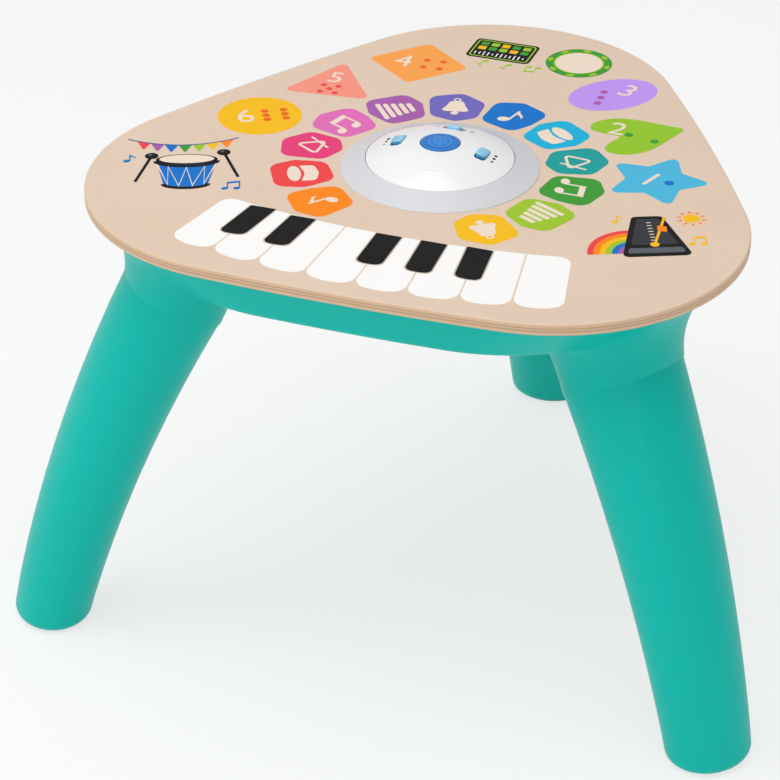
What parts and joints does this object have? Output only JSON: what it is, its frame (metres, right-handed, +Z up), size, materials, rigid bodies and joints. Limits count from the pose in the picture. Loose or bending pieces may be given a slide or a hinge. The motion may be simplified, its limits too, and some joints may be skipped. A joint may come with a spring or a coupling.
{
  "type": "musical activity table",
  "caption": "Toddler activity table with a printed touch deck, a domed sound module with button and slide knobs, and splayed plug-in legs.",
  "frame": {"origin": "on the floor, at the middle of the table's bounding box", "axes": "+Z up, -Y towards the keyboard edge, +X to the player's right"},
  "size_m": [0.539, 0.4942, 0.3505],
  "materials": {
    "plywood": "satin lacquer",
    "film": "printed film",
    "teal_shell": "satin moulded",
    "teal_leg": "satin moulded",
    "grey_ring": "satin moulded",
    "inner_plastic": "moulded",
    "screw_steel": "zinc plated",
    "white_cover": "semi-gloss moulded",
    "circuit_board": "solder mask",
    "black_parts": "moulded",
    "key_rubber": "silicone",
    "blue_button": "gloss moulded",
    "light_blue_knob": "gloss moulded",
    "pressed_steel": "pressed",
    "magnet": "ferrite",
    "cone_paper": "paper",
    "battery": "plain sleeve",
    "contact_steel": "nickel plated"
  },
  "bodies": {
    "table": {"top_panel": "plywood", "touch_film": "film", "base_housing": "teal_shell", "trim_ring": "grey_ring", "clamp_plate": "inner_plastic", "clamp_screws": "screw_steel", "dome_cover": "white_cover", "control_board": "circuit_board", "board_screws": "screw_steel", "sound_chip": "black_parts", "rubber_key": "key_rubber", "volume_switch": "black_parts", "language_switch": "black_parts", "mode_switch": "black_parts", "deck_screws": "screw_steel", "speaker_frame": "pressed_steel", "speaker_magnet": "magnet", "speaker_cone": "cone_paper", "battery_1": "battery", "battery_2": "battery", "battery_3": "battery", "battery_contacts": "contact_steel"},
    "front_left_leg": {"leg_front_left": "teal_leg"},
    "front_right_leg": {"leg_front_right": "teal_leg"},
    "rear_leg": {"leg_rear": "teal_leg"},
    "button": {"centre_button": "blue_button"},
    "volume_slider": {"volume_knob": "light_blue_knob"},
    "language_slider": {"language_knob": "light_blue_knob"},
    "mode_slider": {"mode_knob": "light_blue_knob"},
    "door": {"battery_door": "teal_shell", "battery_door_screw": "screw_steel"}
  },
  "joints": [
    {"name": "button_press", "type": "slide", "parent": "table", "child": "button", "axis": [0, 0, -1], "range_m": [0, 0.002], "stiffness_N_per_m": 800, "springref_m": -0.0005, "deforming": ["rubber_key"]},
    {"name": "volume_slide", "type": "slide", "parent": "table", "child": "volume_slider", "axis": [0, 1, 0], "range_m": [-0.003, 0.003]},
    {"name": "language_slide", "type": "slide", "parent": "table", "child": "language_slider", "axis": [1, 0, 0], "range_m": [-0.003, 0.003]},
    {"name": "mode_slide", "type": "slide", "parent": "table", "child": "mode_slider", "axis": [0, 1, 0], "range_m": [-0.003, 0.003]},
    {"name": "battery_door_hinge", "type": "hinge", "parent": "table", "child": "door", "pos_m": [0, -0.10218, 0.2945], "axis": [1, 0, 0], "range_deg": [0, 60]},
    {"name": "front_left_leg_pull", "type": "slide", "parent": "table", "child": "front_left_leg", "axis": [-0.4132, -0.2386, -0.8788], "range_m": [0, 0.03]},
    {"name": "front_right_leg_pull", "type": "slide", "parent": "table", "child": "front_right_leg", "axis": [0.4132, -0.2386, -0.8788], "range_m": [0, 0.03]},
    {"name": "rear_leg_pull", "type": "slide", "parent": "table", "child": "rear_leg", "axis": [0, 0.4772, -0.8788], "range_m": [0, 0.03]}
  ]
}
